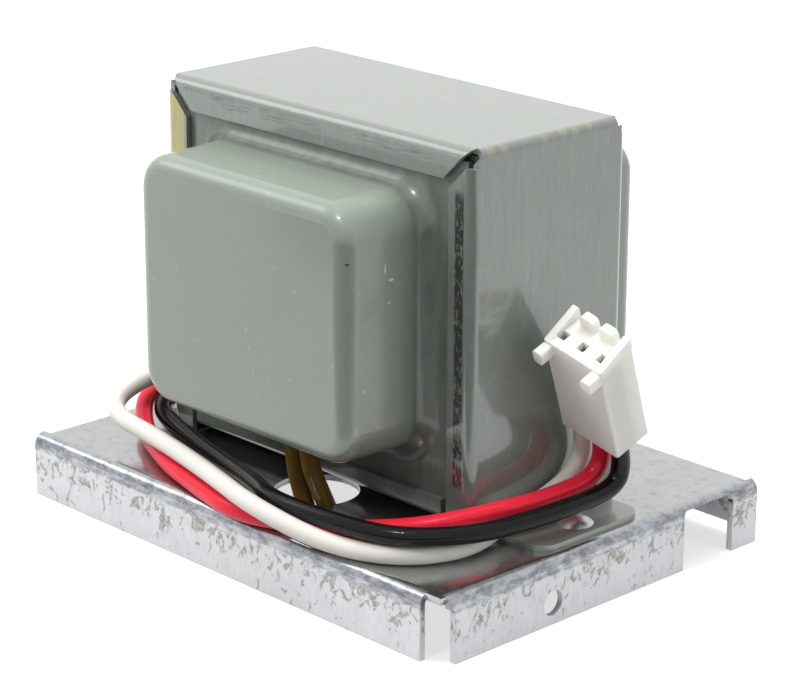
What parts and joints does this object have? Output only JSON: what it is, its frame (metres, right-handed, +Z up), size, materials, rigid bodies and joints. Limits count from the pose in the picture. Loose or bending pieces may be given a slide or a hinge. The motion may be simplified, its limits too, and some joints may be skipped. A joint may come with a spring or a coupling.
{
  "type": "control transformer",
  "caption": "Control transformer: laminated core with drawn winding covers, riveted to a folded mounting plate, with supply leads and secondary leads to a plug-in connector.",
  "frame": {"origin": "middle of the mounting plate's footprint, on the surface that its flanges stand on", "axes": "+X along the plate's long side, -Y out of the front winding cover, +Z up"},
  "size_m": [0.0985, 0.0732, 0.0698],
  "materials": {
    "galvanised_sheet": "galvanised, with spangle",
    "frame_sheet": "grey-green satin",
    "cover_sheet": "grey-green satin",
    "lamination_steel": "rolled, varnished",
    "bobbin_plastic": "moulded",
    "enamelled_copper": "enamelled wire",
    "coil_tape": "coil tape",
    "rivet_steel": "zinc plated",
    "bushing_plastic": "moulded",
    "splice_sleeve": "sleeve",
    "white_insulation": "glossy",
    "red_insulation": "glossy",
    "black_insulation": "glossy",
    "brown_insulation": "glossy",
    "connector_nylon": "natural nylon",
    "terminal_brass": "tin plated",
    "bare_conductor": "tinned strands"
  },
  "bodies": {
    "root": {"base_plate": "galvanised_sheet", "shell_frame": "frame_sheet", "bottom_channel": "frame_sheet", "front_end_bell": "cover_sheet", "rear_end_bell": "cover_sheet", "e_laminations": "lamination_steel", "i_laminations": "lamination_steel", "bobbin": "bobbin_plastic", "primary_winding": "enamelled_copper", "secondary_winding": "enamelled_copper", "primary_wrap": "coil_tape", "secondary_wrap": "coil_tape", "foot_rivets": "rivet_steel", "front_lead_bushing": "bushing_plastic", "rear_lead_bushing": "bushing_plastic", "secondary_lead_splices": "splice_sleeve", "lead_white": "white_insulation", "lead_red": "red_insulation", "lead_black": "black_insulation", "lead_brown_left": "brown_insulation", "lead_brown_right": "brown_insulation", "connector_housing": "connector_nylon", "crimp_terminals": "terminal_brass", "brown_conductor_ends": "bare_conductor"}
  },
  "joints": []
}
